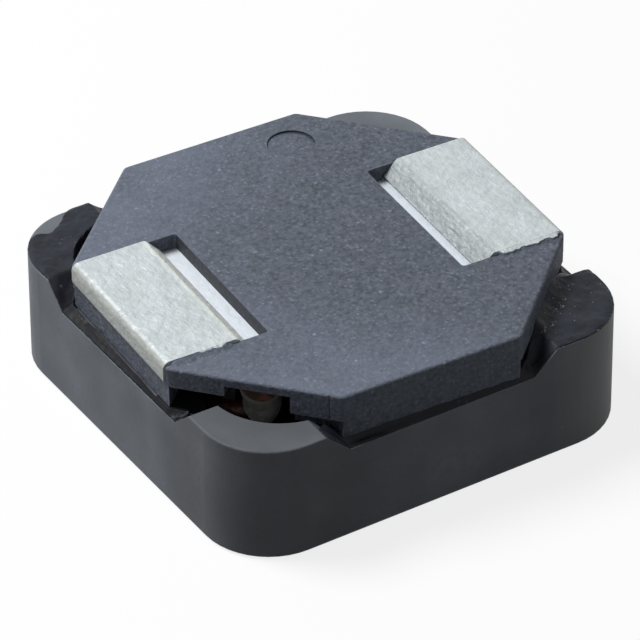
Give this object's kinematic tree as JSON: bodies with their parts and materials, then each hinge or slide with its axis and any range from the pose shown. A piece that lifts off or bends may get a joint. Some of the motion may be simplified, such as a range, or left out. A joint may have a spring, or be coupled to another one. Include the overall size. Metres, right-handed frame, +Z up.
{
  "type": "shielded smd inductor",
  "caption": "Square shielded surface-mount power inductor, solder side up: drum core and winding in a ferrite ring under a moulded base with folded tinned terminals.",
  "frame": {"origin": "middle of the flat ferrite face that the part lies on in the picture, on the resting plane", "axes": "+Z up through the part to its solder pads (the part lies upside down, as pictured: on a board +Z points down); +X towards the terminal_2 side, -X towards the terminal_1 side; +Y and -Y are the two sides with no terminal"},
  "size_m": [0.012, 0.012, 0.0042],
  "materials": {
    "ferrite": "pressed and sintered ferrite, satin dark grey",
    "drum_ferrite": "sintered ferrite, satin dark grey",
    "moulding": "mineral-filled moulding compound, blue-grey with fine bright specks",
    "tinned_sheet": "matt tin plate, slightly uneven",
    "enamelled_wire": "clear enamel over copper",
    "solder": "dull solder",
    "adhesive": "cured black epoxy, lumpy satin to gloss"
  },
  "bodies": {
    "root": {"shield_core": "ferrite", "drum_core": "drum_ferrite", "winding": "enamelled_wire", "base_plate": "moulding", "terminal_1": "tinned_sheet", "terminal_2": "tinned_sheet", "solder_joint_1": "solder", "solder_joint_2": "solder", "core_adhesive": "adhesive", "rim_adhesive": "adhesive", "bore_adhesive": "adhesive", "corner_adhesive_1": "adhesive", "corner_adhesive_2": "adhesive"}
  },
  "joints": []
}
